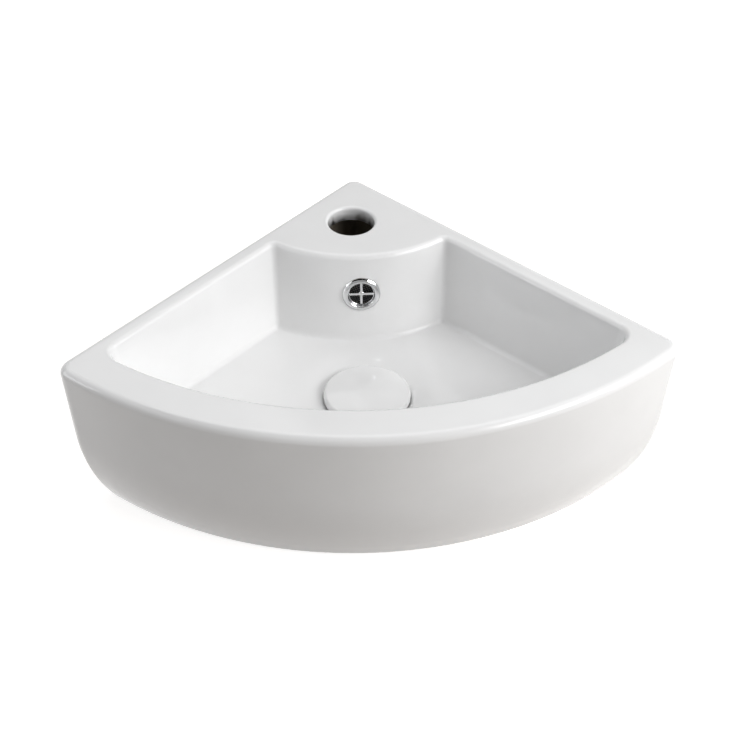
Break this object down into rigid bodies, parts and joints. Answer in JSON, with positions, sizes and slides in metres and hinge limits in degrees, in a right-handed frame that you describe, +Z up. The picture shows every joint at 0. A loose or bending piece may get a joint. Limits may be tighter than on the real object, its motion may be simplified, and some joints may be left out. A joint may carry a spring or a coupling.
{
  "type": "corner hand basin",
  "caption": "Quarter-round wall-hung ceramic hand basin for a room corner, with a tap deck, a chrome-ringed overflow and a push-open waste with a domed ceramic cap.",
  "frame": {"origin": "middle of the base of the bounding box, on the surface that the basin's foot rests on", "axes": "+Z up, +X across the basin along its widest side, +Y towards the wall corner, so the rounded front looks towards -Y"},
  "size_m": [0.448, 0.3199, 0.145],
  "materials": {
    "glaze": "gloss",
    "chrome": "polished",
    "brass": "machined",
    "steel": "satin",
    "rubber": "matte",
    "white_plastic": "moulded",
    "grey_plastic": "moulded",
    "black_plastic": "moulded"
  },
  "bodies": {
    "basin": {"basin_body": "glaze", "overflow_trim_ring": "chrome", "overflow_spider": "chrome", "overflow_clip_sleeve": "black_plastic", "waste_body": "chrome", "waste_top_seal": "rubber", "waste_lower_seal": "rubber", "waste_slip_washer": "white_plastic", "waste_back_nut": "grey_plastic", "clicker_barrel": "brass", "clicker_gasket": "rubber", "clicker_nut": "brass", "clicker_plug": "white_plastic", "clicker_spring": "steel"},
    "plunger": {"clicker_plunger": "white_plastic"},
    "cap": {"waste_cap": "glaze", "cap_base_disc": "brass", "cap_seal_ring": "rubber", "cap_stem": "steel", "cap_lock_nut": "steel"},
    "rotor": {"clicker_rotor": "grey_plastic"}
  },
  "joints": [
    {"name": "waste_slide", "type": "slide", "parent": "basin", "child": "plunger", "axis": [0, 0, 1], "range_m": [0, 0.009], "deforming": ["clicker_spring"]},
    {"name": "cap_turn", "type": "hinge", "parent": "plunger", "child": "cap", "pos_m": [0, -0.01993, 0.06], "axis": [0, 0, 1], "continuous": true},
    {"name": "rotor_turn", "type": "hinge", "parent": "plunger", "child": "rotor", "pos_m": [0, -0.01993, 0.042], "axis": [0, 0, 1], "range_deg": [0, 45]}
  ],
  "couplings": [
    {"joint": "rotor_turn", "follows": "waste_slide", "rad_per_m": 87.266}
  ]
}
